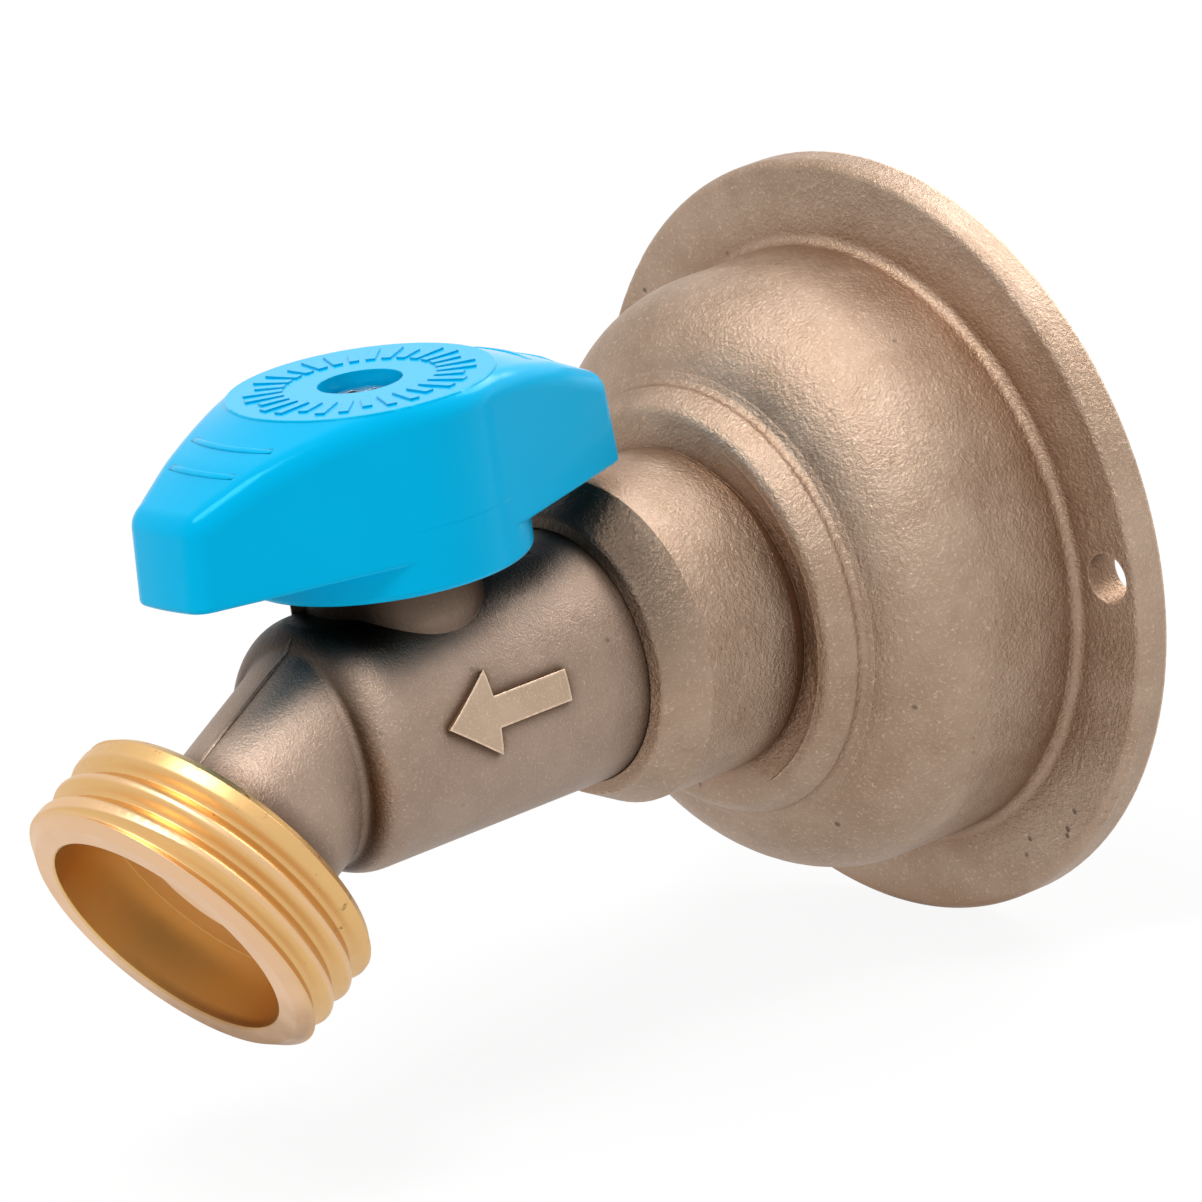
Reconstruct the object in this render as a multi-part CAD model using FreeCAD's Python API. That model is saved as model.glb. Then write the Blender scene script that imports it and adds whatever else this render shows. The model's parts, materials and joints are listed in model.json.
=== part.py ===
import FreeCAD, Part
import math
import os

# Quarter-turn hose bibb with a bell-shaped wall flange and a two-wing handle.
# Millimetres. The origin is the centre of the flange's wall face, +Z is up along the stem,
# and the tap reaches out along -Y. A depth is a distance in front of the wall.

os.makedirs("parts", exist_ok=True)
Vector = FreeCAD.Vector
X_AXIS = Vector(1, 0, 0)
Y_AXIS = Vector(0, 1, 0)
Z_AXIS = Vector(0, 0, 1)

# Fits and clearances
running_fit = 0.05
spigot_fit = 0.05
seat_fit = 0.03
drive_fit = 0.08
ring_fit = 0.03
stop_gap_deg = 1.5
cut_past = 1.0
same = 1e-6

# Ball and seats
ball_radius = 7.2
port_radius = 4.6
ball_slot_width = 3.1
ball_slot_depth = 2.1
seat_length = 3.2
seat_relief = 0.4
chamber_gap = 0.25

# Valve body
chamber_wall = 2.75
front_wall = 3.55
front_round = 3.6
spigot_length = 8.0
spigot_chamfer = 0.6
collar_to_stem = 15.3
boss_wall = 3.65
boss_height = 7.0
boss_round = 0.5
spot_face_width = 4.0
spot_face_depth = 0.5

# Handle stop on the body
lug_width = 0.95
lug_span_deg = 90.0
lug_middle_deg = -165.0
lug_height = 4.4
lug_clearance = 1.0
stop_rib_gap = 0.31
stop_rib_span_deg = 30.0
turn_deg = 90.0

# Spout and hose nipple
outlet_angle_deg = 30.7
elbow_inset = 1.05
outlet_reach = 18.8
spout_blend = 0.9
spout_bore = 5.2
spout_wall = 2.2
spout_start = 6.5
nipple_radius = 13.25
nipple_length = 8.5
nipple_wall = 2.95
nipple_lead_depth = 1.25
nipple_lead_length = 1.0
nipple_back_chamfer = 0.6
nipple_bore_depth = 5.9
nipple_bore_chamfer = 0.15
nipple_floor_slope = 2.0

# Seat retainer and spigot gasket
retainer_step = 0.9
retainer_length = 5.0
retainer_slot_width = 2.0
retainer_slot_depth = 1.2
gasket_thickness = 0.8

# Wall flange, bell and neck
flange_radius = 31.0
flange_thickness = 2.7
flange_crown = 0.3
rim_round = 0.8
screw_hole_radius = 2.0
screw_hole_edge = 3.2
screw_hole_land = 1.5
bell_depth = 19.2
bell_round = 8.0
bell_foot_round = 0.9
bell_wall = 3.0
step_width = 4.3
step_rise = 3.1
step_land = 1.1
step_land_drop = 0.4
step_edge_drop = 2.3
step_round = 0.6
step_land_round = 1.2
step_foot_round = 0.9
groove_width = 2.0
groove_depth = 1.1
groove_undercut = 0.3
groove_start = 5.0
collar_wall = 2.85
neck_length = 8.9
shoulder_length = 3.5
shoulder_drop = 1.8
lip_length = 0.35
casting_round = 0.5

# Inlet socket, tapped for a half-inch pipe
inlet_radius = 9.6
inlet_length = 13.5
inlet_wall = 3.4
inlet_chamfer = 0.8
inlet_bore = 5.6

# Stem and its seals
stem_radius = 3.2
stem_collar_width = 1.2
stem_collar_height = 1.6
stem_collar_gap = 0.2
washer_thickness = 0.6
tang_setback = 0.5
ring_section = 1.2
ring_groove_width = 1.7
ring_spacing = 3.2
first_ring = 2.0
shoulder_above_boss = 0.9
drive_height = 3.9
drive_flats = 4.4

# Handle
handle_web = 1.7
disc_border = 0.65
handle_draft_deg = 0.8
skirt_clearance = 1.8
skirt_wall = 2.4
skirt_round = 0.5
disc_rise = 0.15
wing_gap = 2.5
wing_reach = 20.7
wing_tip_width = 8.0
wing_tip_drop = 4.6
wing_tip_draft_deg = 4.0
wing_corner_round = 2.0
wing_rim_round = 2.0
wing_foot_round = 0.4
crown_knee_width = 5.2
crown_knee_drop = 2.0
crown_knee_round = 10.0
wing_wall = 2.2
recess_gap = 0.53
recess_depth = 2.7

# Handle screw
screw_head_radius = 2.75
screw_head_height = 1.7
screw_dome = 0.6
screw_radius = 1.6
screw_length = 7.0
screw_tip_room = 0.5
cross_length = 3.2
cross_width = 0.75
cross_depth = 1.1

# Sizes that follow from the ones above
seat_reach = ball_radius + seat_relief
seat_bore = port_radius + chamber_gap
chamber_radius = ball_radius + chamber_gap
seat_radius = chamber_radius - seat_fit
body_radius = chamber_radius + chamber_wall
retainer_radius = chamber_radius + retainer_step
spigot_tip_radius = body_radius - spigot_chamfer
collar_bore = body_radius + spigot_fit
neck_radius = collar_bore + collar_wall
screw_circle = flange_radius - screw_hole_edge
bell_radius = screw_circle - screw_hole_radius - screw_hole_land
groove_radius = neck_radius + groove_width
step_outer = neck_radius + step_width

step_front = bell_depth + step_rise
neck_front = step_front + neck_length
collar_front = neck_front + shoulder_length + lip_length
stem_depth = collar_front + collar_to_stem
spigot_end = collar_front - spigot_length
socket_end = spigot_end - gasket_thickness
front_depth = stem_depth + seat_reach + front_wall
elbow_depth = front_depth - elbow_inset
spout_radius = spout_bore + spout_wall
nipple_bore = nipple_radius - nipple_wall

stem_bore = stem_radius + running_fit
stem_collar_radius = stem_radius + stem_collar_width
stem_base = chamber_radius + stem_collar_gap
stem_collar_top = stem_base + stem_collar_height
washer_base = stem_collar_top + ring_fit
boss_floor = washer_base + washer_thickness + ring_fit
boss_radius = stem_bore + boss_wall
boss_top = body_radius + boss_height
lug_radius = boss_radius + lug_width
lug_start_deg = lug_middle_deg - lug_span_deg / 2
lug_top = body_radius + lug_height

handle_seat = boss_top + shoulder_above_boss
socket_top = handle_seat + drive_height
stem_top = socket_top - drive_fit
recess_floor = socket_top + handle_web
handle_top = recess_floor + recess_depth
recess_radius = screw_head_radius + recess_gap
skirt_bottom = body_radius + skirt_clearance
wing_bottom = skirt_bottom + wing_gap
cavity_radius = lug_radius + lug_clearance
skirt_radius = cavity_radius + skirt_wall
draft = math.tan(math.radians(handle_draft_deg))
hub_radius = skirt_radius - (handle_top - skirt_bottom) * draft
disc_radius = hub_radius - disc_border
tip_draft = math.tan(math.radians(wing_tip_draft_deg))
half_tip = wing_tip_width / 2
wing_lean = math.acos(half_tip / wing_reach) - math.acos(hub_radius / wing_reach)

outlet_angle = math.radians(outlet_angle_deg)
outlet_way = Vector(0, -math.cos(outlet_angle), -math.sin(outlet_angle))
elbow = Vector(0, -elbow_depth, 0)
outlet_face = elbow + outlet_way * outlet_reach
stem_foot = Vector(0, -stem_depth, 0)


# Shape helpers
def rounded_face(corners):
    """A face in the XY plane through corners given as x, y and the corner's radius."""
    count = len(corners)
    points = [Vector(x, y, 0) for x, y, _ in corners]
    halves = []
    wanted = []
    for i, (_, _, radius) in enumerate(corners):
        back = points[i - 1] - points[i]
        ahead = points[(i + 1) % count] - points[i]
        halves.append(back.getAngle(ahead) / 2)
        wanted.append(radius / math.tan(halves[i]))
    edges = []
    ends = []
    for i in range(count):
        here = points[i]
        reach = wanted[i]
        ways = []
        for j in (i - 1, (i + 1) % count):
            way = points[j] - here
            crowding = (wanted[i] + wanted[j]) / way.Length
            reach = min(reach, wanted[i] / max(1, crowding))
            ways.append(way.normalize())
        if reach <= 0:
            ends.append((here, here))
            continue
        inward = (ways[0] + ways[1]).normalize()
        radius = reach * math.tan(halves[i])
        centre = here + inward * (radius / math.sin(halves[i]))
        start = here + ways[0] * reach
        stop = here + ways[1] * reach
        edges.append(Part.Arc(start, centre - inward * radius, stop).toShape())
        ends.append((start, stop))
    for i in range(count):
        start = ends[i - 1][1]
        stop = ends[i][0]
        if start.distanceToPoint(stop) > same:
            edges.append(Part.makeLine(start, stop))
    return Part.Face(Part.Wire(Part.__sortEdges__(edges)))


def turned_on_wall_axis(corners):
    """A solid of revolution about the tap's long axis, from corners of radius and depth."""
    face = rounded_face([(radius, -depth, round_) for radius, depth, round_ in corners])
    return face.revolve(Vector(), Y_AXIS, 360)


def turned_upright(corners):
    """A solid of revolution about the stem's axis, from corners of radius and height."""
    face = rounded_face(corners)
    face.rotate(Vector(), X_AXIS, 90)
    solid = face.revolve(Vector(), Z_AXIS, 360)
    solid.translate(stem_foot)
    return solid


def turned_on_outlet(corners):
    """A solid of revolution about the outlet's axis, from corners of radius and setback."""
    face = rounded_face(corners)
    face.rotate(Vector(), X_AXIS, 90)
    solid = face.revolve(Vector(), Z_AXIS, 360)
    solid.rotate(Vector(), X_AXIS, outlet_angle_deg - 90)
    solid.translate(outlet_face)
    return solid


def upright_cylinder(radius, bottom, top):
    return Part.makeCylinder(radius, top - bottom, stem_foot + Z_AXIS * bottom)


def wall_axis_cylinder(radius, near, far):
    return Part.makeCylinder(radius, far - near, Vector(0, -near, 0), -Y_AXIS)


def block(size_x, size_y, bottom, top):
    """A box centred on the stem's axis."""
    corner = stem_foot + Vector(-size_x / 2, -size_y / 2, bottom)
    return Part.makeBox(size_x, size_y, top - bottom, corner)


def sector(inner, outer, bottom, top, start_deg, span_deg):
    """Part of an upright ring about the stem's axis, its angle counted from +X."""
    face = rounded_face([(inner, bottom, 0), (outer, bottom, 0), (outer, top, 0), (inner, top, 0)])
    face.rotate(Vector(), X_AXIS, 90)
    face.rotate(Vector(), Z_AXIS, start_deg)
    solid = face.revolve(Vector(), Z_AXIS, span_deg)
    solid.translate(stem_foot)
    return solid


# Wall flange: bell, step ring, neck and collar in one casting
def make_wall_flange():
    lip_radius = neck_radius - shoulder_drop
    inner_radius = bell_radius - bell_wall
    inner_depth = bell_depth - bell_wall
    socket_radius = inlet_radius + inlet_wall
    inlet_back = socket_end - bell_wall - inlet_length
    casting = turned_on_wall_axis([
        (inner_radius, 0, 0),
        (flange_radius, 0, 0),
        (flange_radius, flange_thickness, rim_round),
        (bell_radius, flange_thickness + flange_crown, bell_foot_round),
        (bell_radius, bell_depth, bell_round),
        (neck_radius, bell_depth, 0),
        (neck_radius, neck_front, casting_round),
        (lip_radius, neck_front + shoulder_length, casting_round),
        (collar_bore, collar_front, 0),
        (collar_bore, socket_end, 0),
        (inlet_bore, socket_end, 0),
        (inlet_bore, socket_end - bell_wall / 2, 0),
        (inlet_radius, inlet_back + inlet_length, 0),
        (inlet_radius, inlet_back + inlet_chamfer, 0),
        (inlet_radius + inlet_chamfer, inlet_back, 0),
        (socket_radius, inlet_back, 0),
        (socket_radius, inner_depth, 0),
        (inner_radius, inner_depth, bell_round - bell_wall),
        (inner_radius, flange_thickness, 0),
    ])
    casting = casting.fuse(make_step_ring())
    for side in (-1, 1):
        casting = casting.cut(make_step_groove(side))
        back = Vector(side * screw_circle, cut_past, 0)
        casting = casting.cut(Part.makeCylinder(
            screw_hole_radius, flange_thickness + flange_crown + 2 * cut_past, back, -Y_AXIS))
    return casting


def make_step_ring():
    """The raised ring on the bell's crown, with a rounded edge and a hollow foot."""
    core_radius = neck_radius - casting_round
    return turned_on_wall_axis([
        (core_radius, bell_depth - step_foot_round, 0),
        (step_outer, bell_depth - step_foot_round, 0),
        (step_outer + step_foot_round, bell_depth - step_foot_round / 4, 0),
        (step_outer, bell_depth + step_foot_round / 4, step_foot_round),
        (step_outer, step_front - step_edge_drop, step_round),
        (groove_radius + step_land, step_front - step_land_drop, step_land_round),
        (core_radius, step_front, 0),
    ])


def make_step_groove(side):
    """The groove beside the neck, deepest at this side and fading out above and below."""
    front = step_front + groove_depth
    ring = turned_on_wall_axis([
        (neck_radius, step_front, 0),
        (neck_radius - groove_undercut, step_front - groove_depth, 0),
        (groove_radius, step_front - groove_depth, 0),
        (groove_radius, front, 0),
        (neck_radius, front, 0),
    ])
    slope = groove_depth / (neck_radius - groove_start)
    wedge = rounded_face([
        (0, -step_front - groove_start * slope, 0),
        (side * groove_radius, -step_front + (groove_radius - groove_start) * slope, 0),
        (side * groove_radius, -front, 0),
        (0, -front, 0),
    ])
    wedge.translate(Z_AXIS * -groove_radius)
    return ring.common(wedge.extrude(Z_AXIS * 2 * groove_radius))


# Valve body: ball chamber, spigot, stem boss, stop lug, spout and hose nipple in one forging
def make_valve_body():
    barrel = turned_on_wall_axis([
        (0, spigot_end, 0),
        (spigot_tip_radius, spigot_end, 0),
        (body_radius, spigot_end + spigot_chamfer, 0),
        (body_radius, front_depth, front_round),
        (0, front_depth, 0),
    ])
    nipple_middle = nipple_length / 2
    spout_end = outlet_reach + spout_start
    spout = turned_on_outlet([
        (0, nipple_middle, 0),
        (spout_radius, nipple_middle, 0),
        (spout_radius, spout_end, 0),
        (0, spout_end, 0),
    ])
    nipple = turned_on_outlet([
        (0, 0, 0),
        (nipple_radius - nipple_lead_depth, 0, 0),
        (nipple_radius, nipple_lead_length, 0),
        (nipple_radius, nipple_length - nipple_back_chamfer, 0),
        (nipple_radius - nipple_back_chamfer, nipple_length, 0),
        (0, nipple_length, 0),
    ])
    boss = turned_upright([
        (0, 0, 0),
        (boss_radius, 0, 0),
        (boss_radius, boss_top, boss_round),
        (0, boss_top, 0),
    ])
    lug = sector(boss_radius - lug_width, lug_radius, stem_base, lug_top, lug_start_deg, lug_span_deg)
    spot_face = upright_cylinder(lug_radius + spot_face_width, body_radius - spot_face_depth, boss_top)
    body = blend_spout(barrel.fuse(spout)).cut(spot_face).fuse([nipple, boss, lug])

    far_seat = stem_depth + seat_reach
    near_seat = stem_depth - seat_reach
    chamber = turned_on_wall_axis([
        (0, spigot_end - cut_past, 0),
        (retainer_radius, spigot_end - cut_past, 0),
        (retainer_radius, near_seat, 0),
        (chamber_radius, near_seat, 0),
        (chamber_radius, far_seat, 0),
        (port_radius, far_seat, 0),
        (port_radius, elbow_depth, 0),
        (0, elbow_depth, 0),
    ])
    mouth = nipple_bore + nipple_bore_chamfer
    waterway = turned_on_outlet([
        (0, -cut_past, 0),
        (mouth, -cut_past, 0),
        (mouth, 0, 0),
        (nipple_bore, nipple_bore_chamfer, 0),
        (nipple_bore, nipple_bore_depth, 0),
        (spout_bore + nipple_floor_slope, nipple_bore_depth, 0),
        (spout_bore, nipple_bore_depth + nipple_floor_slope, 0),
        (spout_bore, outlet_reach, 0),
        (0, outlet_reach, 0),
    ])
    bend = Part.makeSphere(spout_bore, elbow)
    collar_room = stem_collar_radius + running_fit
    stem_way = turned_upright([
        (0, 0, 0),
        (collar_room, 0, 0),
        (collar_room, boss_floor, 0),
        (stem_bore, boss_floor, 0),
        (stem_bore, boss_top + cut_past, 0),
        (0, boss_top + cut_past, 0),
    ])
    return body.cut([chamber, waterway, bend, stem_way])


def blend_spout(body):
    """Rounds the crease where the spout leaves the barrel."""
    crease = []
    for face in body.Faces:
        if face.Surface.TypeId != "Part::GeomCylinder" or abs(face.Surface.Radius - spout_radius) > same:
            continue
        for edge in face.Edges:
            if edge.Curve.TypeId not in ("Part::GeomCircle", "Part::GeomLine"):
                crease.append(edge)
    return body.makeFillet(spout_blend, crease)


# Ball with its port and its drive slot
def make_ball():
    ball = Part.makeSphere(ball_radius, stem_foot)
    port = wall_axis_cylinder(port_radius, stem_depth - 2 * ball_radius, stem_depth + 2 * ball_radius)
    slot = block(3 * ball_radius, ball_slot_width, ball_radius - ball_slot_depth, 2 * ball_radius)
    return ball.cut([port, slot])


# Seat: a ring with a cup that the ball turns in
def make_seat(side):
    back = stem_depth + side * seat_reach
    face = back - side * seat_length
    ring = wall_axis_cylinder(seat_radius, min(back, face), max(back, face))
    bore = wall_axis_cylinder(seat_bore, min(back, face) - cut_past, max(back, face) + cut_past)
    cup = Part.makeSphere(ball_radius + seat_fit, stem_foot)
    return ring.cut([bore, cup])


# Seat retainer: a slotted ring screwed in behind the inlet seat
def make_seat_retainer():
    far = stem_depth - seat_reach
    near = far - retainer_length
    ring = wall_axis_cylinder(retainer_radius - spigot_fit, near, far)
    bore = wall_axis_cylinder(port_radius, near - cut_past, far + cut_past)
    slot = Part.makeBox(
        2 * retainer_radius, retainer_slot_depth, retainer_slot_width,
        Vector(-retainer_radius, -near - retainer_slot_depth, -retainer_slot_width / 2))
    return ring.cut([bore, slot])


# Gasket between the spigot's end and the collar's floor
def make_spigot_gasket():
    return turned_on_wall_axis([
        (retainer_radius, socket_end, 0),
        (spigot_tip_radius, socket_end, 0),
        (spigot_tip_radius, spigot_end, 0),
        (retainer_radius, spigot_end, 0),
    ])


# Stem: tang, thrust collar, two seal grooves and a flatted drive
def ring_height(number):
    return boss_floor + first_ring + number * ring_spacing


def make_stem():
    groove_radius = stem_bore - ring_fit - ring_section
    corners = [
        (0, stem_base, 0),
        (stem_collar_radius, stem_base, 0),
        (stem_collar_radius, stem_collar_top, 0),
        (stem_radius, stem_collar_top, 0),
    ]
    for number in range(2):
        low = ring_height(number) - ring_groove_width / 2
        high = ring_height(number) + ring_groove_width / 2
        corners += [
            (stem_radius, low, 0),
            (groove_radius, low, 0),
            (groove_radius, high, 0),
            (stem_radius, high, 0),
        ]
    corners += [(stem_radius, handle_seat, 0), (0, handle_seat, 0)]
    drive = upright_cylinder(stem_radius, handle_seat, stem_top)
    drive = drive.common(block(2 * stem_radius, drive_flats, handle_seat, stem_top))
    tang = block(2 * (stem_collar_radius - tang_setback), ball_slot_width - 2 * drive_fit,
                 ball_radius - ball_slot_depth + drive_fit, stem_collar_top)
    thread = upright_cylinder(screw_radius + drive_fit,
                              recess_floor - screw_length - screw_tip_room, stem_top + cut_past)
    return turned_upright(corners).fuse([drive, tang]).cut(thread)


def make_stem_ring(number):
    radius = ring_section / 2
    middle = stem_bore - ring_fit - radius
    return Part.makeTorus(middle, radius, stem_foot + Z_AXIS * ring_height(number))


def make_thrust_washer():
    return turned_upright([
        (stem_bore, washer_base, 0),
        (stem_collar_radius, washer_base, 0),
        (stem_collar_radius, washer_base + washer_thickness, 0),
        (stem_bore, washer_base + washer_thickness, 0),
    ])


# Handle: drafted wings under a cone-shaped crown, with a disc on top and a hollow skirt below
def wing_outline(height):
    """The handle's plan at a height: hub arcs joined by tangents to round tips about the stem."""
    below = handle_top - height
    radius = hub_radius + below * draft
    reach = wing_reach + below * tip_draft
    corner = wing_lean + math.acos(radius / reach)
    tip_x = reach * math.cos(corner)
    tip_y = reach * math.sin(corner)
    touch_x = radius * math.cos(wing_lean)
    touch_y = radius * math.sin(wing_lean)
    plan = []
    for side in (-1, 1):
        near_tip = Vector(side * tip_x, side * tip_y)
        far_tip = Vector(-side * tip_x, side * tip_y)
        touch = Vector(-side * touch_x, side * touch_y)
        next_touch = Vector(-side * touch_x, -side * touch_y)
        next_tip = Vector(-side * tip_x, -side * tip_y)
        plan += [
            Part.Arc(near_tip, Vector(0, side * reach), far_tip).toShape(),
            Part.makeLine(far_tip, touch),
            Part.Arc(touch, Vector(-side * radius, 0), next_touch).toShape(),
            Part.makeLine(next_touch, next_tip),
        ]
    wire = Part.Wire(plan)
    wire.translate(stem_foot + Z_AXIS * height)
    return wire


def is_upright(edge):
    return abs(edge.tangentAt(edge.FirstParameter).z) > 0.9


def rims_between(shape, low, high):
    """The edges that run around a shape with their middles between two heights."""
    rims = []
    for edge in shape.Edges:
        if not is_upright(edge) and low < edge.CenterOfMass.z < high:
            rims.append(edge)
    return rims


def make_wings():
    """The drafted wings under their crown, with round tip corners and rims."""
    wings = Part.makeLoft([wing_outline(wing_bottom), wing_outline(handle_top)], True, True)
    crown_top = handle_top - disc_rise
    knee_radius = disc_radius + crown_knee_width
    slope = (wing_tip_drop - crown_knee_drop) / (wing_reach - knee_radius)
    beyond = 2 * wing_reach
    foot = crown_top - crown_knee_drop - slope * (beyond - knee_radius)
    wings = wings.common(turned_upright([
        (0, foot - beyond, 0),
        (beyond, foot - beyond, 0),
        (beyond, foot, 0),
        (knee_radius, crown_top - crown_knee_drop, crown_knee_round),
        (disc_radius, crown_top, 0),
        (0, crown_top, 0),
    ]))
    tip_edges = []
    for edge in wings.Edges:
        off_axis = (edge.CenterOfMass - stem_foot).cross(Z_AXIS).Length
        if is_upright(edge) and off_axis > wing_reach - half_tip:
            tip_edges.append(edge)
    wings = wings.makeFillet(wing_corner_round, tip_edges)
    wings = wings.makeFillet(wing_foot_round, rims_between(wings, wing_bottom - same, wing_bottom + same))
    rims = rims_between(wings, wing_bottom + wing_gap, crown_top - disc_rise / 2)
    return wings.makeFillet(wing_rim_round, rims)


def make_handle():
    skirt = turned_upright([
        (0, skirt_bottom, 0),
        (skirt_radius, skirt_bottom, skirt_round),
        (skirt_radius - wing_gap * draft, wing_bottom + wing_gap, 0),
        (0, wing_bottom + wing_gap, 0),
    ])
    disc = turned_upright([
        (0, wing_bottom, 0),
        (disc_radius, wing_bottom, 0),
        (disc_radius, handle_top, disc_rise),
        (0, handle_top, 0),
    ])
    cavity = upright_cylinder(cavity_radius, skirt_bottom - cut_past, handle_seat)
    recess = upright_cylinder(recess_radius, recess_floor, handle_top + cut_past)
    screw_way = upright_cylinder(screw_radius + 2 * drive_fit, handle_seat, handle_top)
    socket = upright_cylinder(stem_radius + drive_fit, handle_seat - cut_past, socket_top)
    socket = socket.common(block(2 * skirt_radius, drive_flats + 2 * drive_fit,
                                 skirt_bottom, socket_top))
    pockets = [wing_pocket(side) for side in (-1, 1)]
    handle = make_wings().fuse([skirt, disc]).cut([cavity, recess, screw_way, socket] + pockets)
    opened_stop = lug_start_deg - stop_gap_deg - stop_rib_span_deg
    closed_stop = lug_start_deg + lug_span_deg + stop_gap_deg + turn_deg
    for start in (opened_stop, closed_stop):
        handle = handle.fuse(sector(
            boss_radius + stop_rib_gap, cavity_radius + skirt_wall / 4,
            skirt_bottom + skirt_round, handle_seat + handle_web / 2, start, stop_rib_span_deg))
    return handle


def wing_pocket(side):
    """The core that hollows a wing from below, with walls of one thickness."""
    near = skirt_radius + wing_wall / 2
    far = wing_reach - wing_wall
    half_near = half_tip + (wing_reach - near) * math.tan(wing_lean) - wing_wall
    half_far = half_tip + (wing_reach - far) * math.tan(wing_lean) - wing_wall
    face = rounded_face([
        (-half_near, side * near, casting_round),
        (half_near, side * near, casting_round),
        (half_far, side * far, casting_round),
        (-half_far, side * far, casting_round),
    ])
    top = handle_top - wing_tip_drop - wing_wall
    face.translate(stem_foot + Z_AXIS * (wing_bottom - cut_past))
    return face.extrude(Z_AXIS * (top - wing_bottom + cut_past))


# Handle screw: pan head with a cross recess
def make_handle_screw():
    head_top = recess_floor + screw_head_height
    screw = turned_upright([
        (0, recess_floor - screw_length, 0),
        (screw_radius, recess_floor - screw_length, 0),
        (screw_radius, recess_floor, 0),
        (screw_head_radius, recess_floor, 0),
        (screw_head_radius, head_top, screw_dome),
        (0, head_top, 0),
    ])
    floor = head_top - cross_depth
    arms = [block(cross_length, cross_width, floor, head_top + cut_past),
            block(cross_width, cross_length, floor, head_top + cut_past)]
    return screw.cut(arms)


parts = {
    "wall_flange": make_wall_flange(),
    "valve_body": make_valve_body(),
    "ball": make_ball(),
    "outlet_seat": make_seat(1),
    "inlet_seat": make_seat(-1),
    "seat_retainer": make_seat_retainer(),
    "spigot_gasket": make_spigot_gasket(),
    "stem": make_stem(),
    "lower_stem_ring": make_stem_ring(0),
    "upper_stem_ring": make_stem_ring(1),
    "thrust_washer": make_thrust_washer(),
    "handle": make_handle(),
    "handle_screw": make_handle_screw(),
}
for name, shape in parts.items():
    shape.exportStep("parts/" + name + ".step")
    print(name, "solids", len(shape.Solids), "valid", shape.isValid(), "volume", round(shape.Volume, 1))
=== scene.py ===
import json
import math

import bmesh
import bpy
from mathutils import Matrix, Vector
from mathutils.bvhtree import BVHTree


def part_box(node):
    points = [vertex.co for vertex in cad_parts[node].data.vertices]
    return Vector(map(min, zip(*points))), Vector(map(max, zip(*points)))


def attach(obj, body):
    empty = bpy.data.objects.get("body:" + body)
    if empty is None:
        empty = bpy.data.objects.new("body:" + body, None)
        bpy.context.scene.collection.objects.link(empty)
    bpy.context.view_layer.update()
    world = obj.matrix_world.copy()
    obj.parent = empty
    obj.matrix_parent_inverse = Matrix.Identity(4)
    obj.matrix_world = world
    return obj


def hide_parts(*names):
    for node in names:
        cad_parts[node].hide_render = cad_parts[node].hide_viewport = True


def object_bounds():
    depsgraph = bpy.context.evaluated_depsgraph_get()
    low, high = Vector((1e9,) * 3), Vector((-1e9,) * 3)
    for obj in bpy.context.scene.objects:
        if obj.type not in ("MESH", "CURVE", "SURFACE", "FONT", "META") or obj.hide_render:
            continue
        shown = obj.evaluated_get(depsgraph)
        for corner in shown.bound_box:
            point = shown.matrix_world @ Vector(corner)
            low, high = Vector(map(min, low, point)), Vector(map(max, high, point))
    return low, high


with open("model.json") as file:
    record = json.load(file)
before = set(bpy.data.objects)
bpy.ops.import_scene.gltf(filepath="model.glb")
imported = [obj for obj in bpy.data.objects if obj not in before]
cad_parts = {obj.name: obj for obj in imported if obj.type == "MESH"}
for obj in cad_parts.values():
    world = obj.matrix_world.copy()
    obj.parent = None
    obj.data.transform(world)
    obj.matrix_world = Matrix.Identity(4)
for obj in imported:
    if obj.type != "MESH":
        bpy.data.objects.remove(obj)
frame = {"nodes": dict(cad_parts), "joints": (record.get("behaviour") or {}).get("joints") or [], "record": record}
cad_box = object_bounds()

# Lengths below are in metres, written as millimetres times MM
MM = 0.001
X_AXIS = Vector((1, 0, 0))
Y_AXIS = Vector((0, 1, 0))
Z_AXIS = Vector((0, 0, 1))

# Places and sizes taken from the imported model
nodes = frame["nodes"]
mounts = {mount["name"]: mount for mount in frame["record"]["mounts"]}
stem_axis = Vector(frame["joints"][0]["pos_m"])
handle_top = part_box("handle")[1].z
outlet_way = Vector(mounts["outlet"]["axis"])
outlet_length = mounts["outlet"]["dims"]["length_mm"] * MM
nipple_radius = mounts["outlet"]["dims"]["r_mm"] * MM
bore_radius = mounts["outlet_bore"]["dims"]["r_mm"] * MM
inlet_radius = mounts["inlet"]["dims"]["r_mm"] * MM
inlet_length = mounts["inlet"]["dims"]["length_mm"] * MM
inlet_mouth = Vector(mounts["inlet"]["pos_m"]) + Y_AXIS * inlet_length / 2

# Sizes of the valve body that its mounts don't give
barrel_radius = 10.2 * MM
spout_radius = 7.4 * MM
nipple_lead = 1.0 * MM
nipple_back_chamfer = 0.6 * MM
nipple_length = nipple_lead + outlet_length + nipple_back_chamfer
outlet_face = Vector(mounts["outlet"]["pos_m"]) + outlet_way * (outlet_length / 2 + nipple_lead)

# Hose thread
thread_pitch = 2.35 * MM
thread_root = 12.35 * MM
thread_crest_flat = 0.16 * MM
thread_start_turn = -0.52
thread_turns = 2.62
thread_fade_turns = 0.25
first_crest = 0.62 * MM
first_crest_deg = 54.0
steps_per_turn = 96
groove_steps = 12
groove_overshoot = 0.6 * MM
groove_end_lift = 1.1

# Inlet thread
inlet_pitch = 1.814 * MM
inlet_thread_depth = 0.55 * MM
inlet_clear_turns = 0.8
inlet_fade_turns = 0.3
inlet_ridge_half = inlet_pitch * 0.46
inlet_root_overlap = 0.1 * MM

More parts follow.
